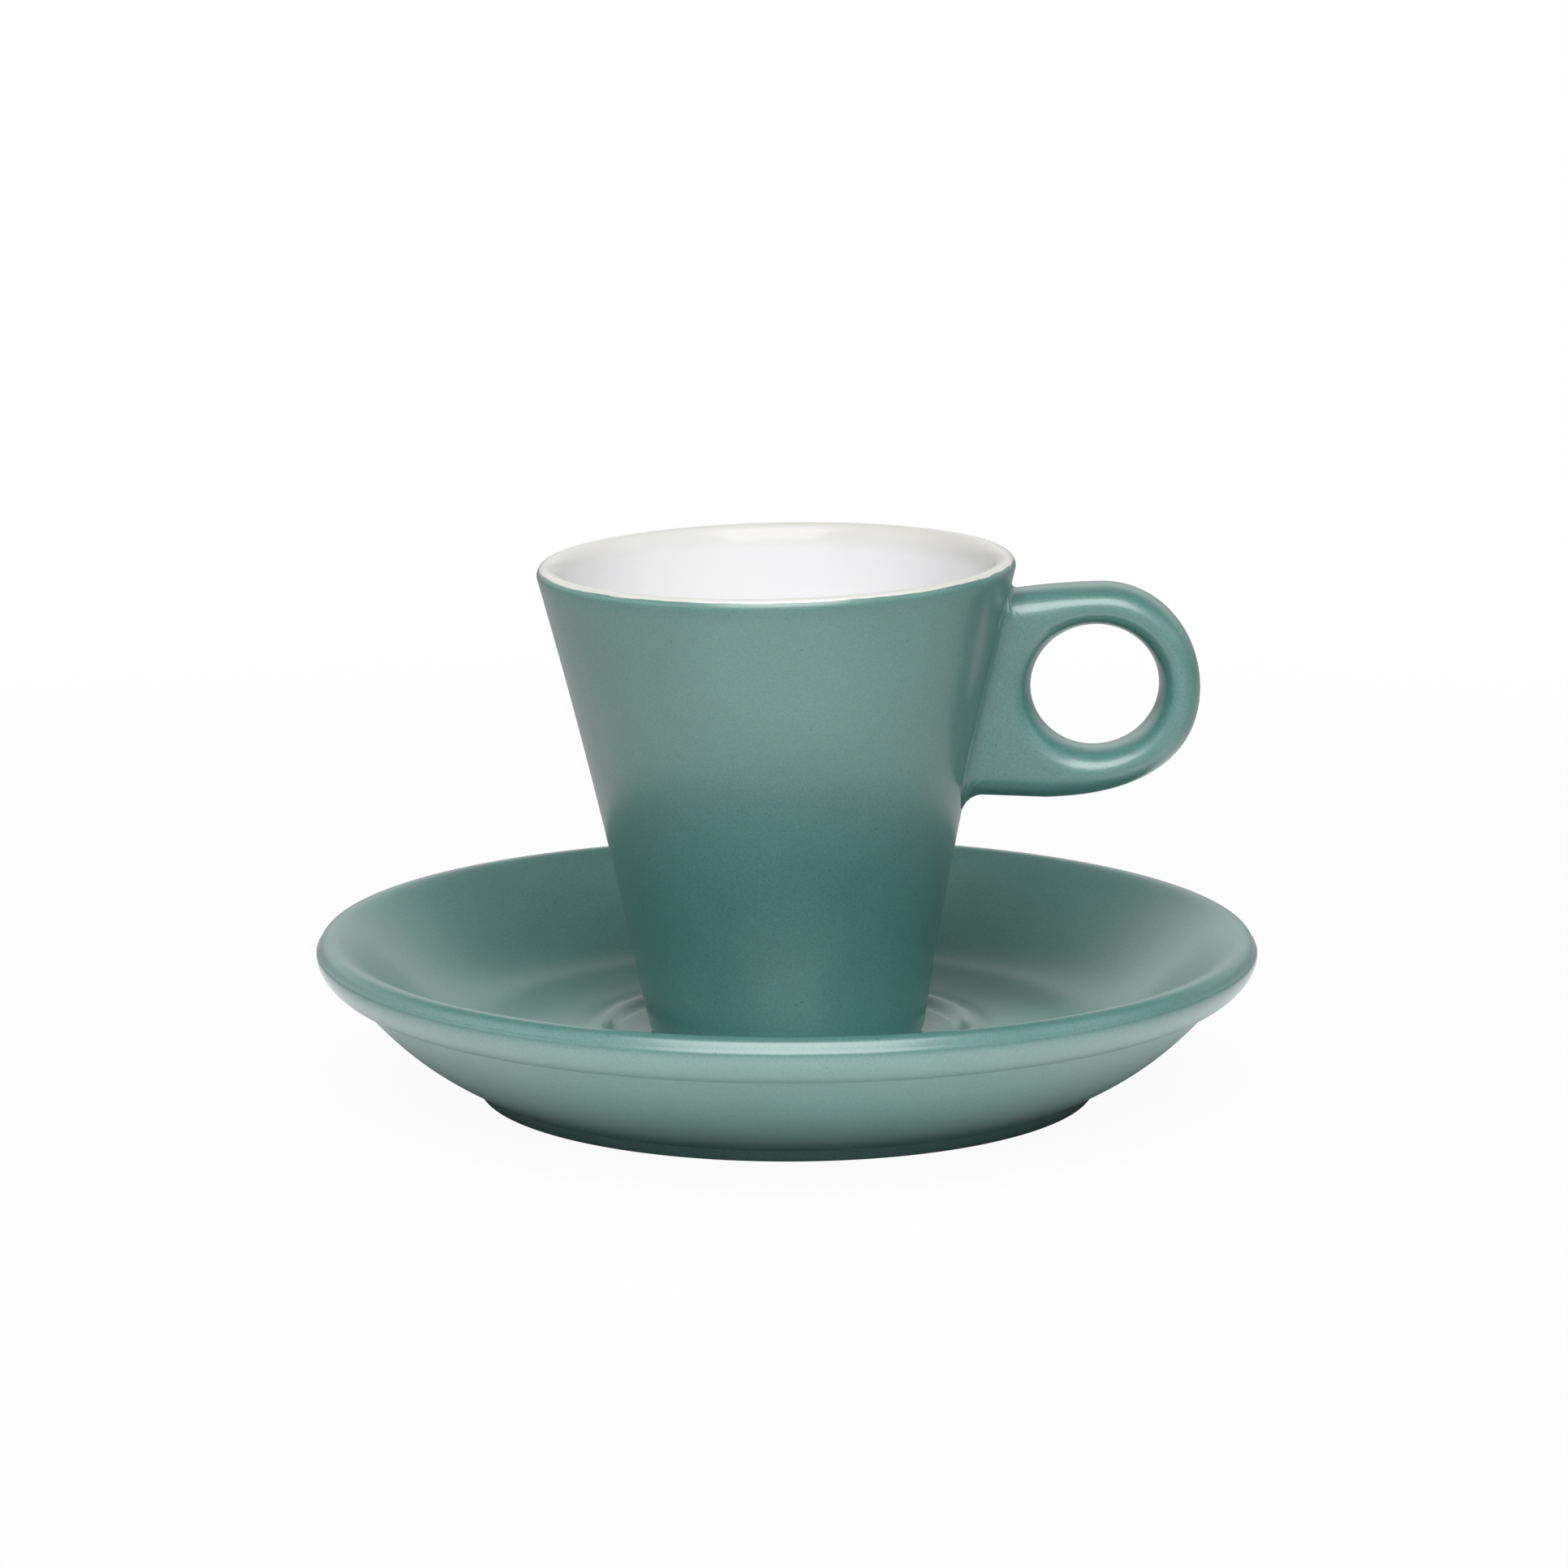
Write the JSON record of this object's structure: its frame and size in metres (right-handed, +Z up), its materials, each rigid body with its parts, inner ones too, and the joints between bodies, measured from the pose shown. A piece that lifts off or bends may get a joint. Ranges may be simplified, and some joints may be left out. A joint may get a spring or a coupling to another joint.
{
  "type": "espresso cup and saucer",
  "caption": "Flared espresso cup with a pierced slab handle, green satin glaze outside and white inside, standing loose in the shallow well of a deep round saucer.",
  "frame": {"origin": "on the table, in the middle of the saucer's foot ring", "axes": "+Z up along the axis of the saucer, +X towards the cup's handle"},
  "size_m": [0.12, 0.12, 0.069],
  "materials": {
    "green_glaze": "satin",
    "white_glaze": "gloss"
  },
  "bodies": {
    "saucer": {"saucer": "green_glaze"},
    "cup": {"cup_body": "green_glaze", "cup_lining": "white_glaze", "cup_handle": "green_glaze"}
  },
  "joints": [
    {"name": "cup_lift", "type": "slide", "parent": "saucer", "child": "cup", "axis": [0, 0, 1], "range_m": [0, 0.1]}
  ]
}
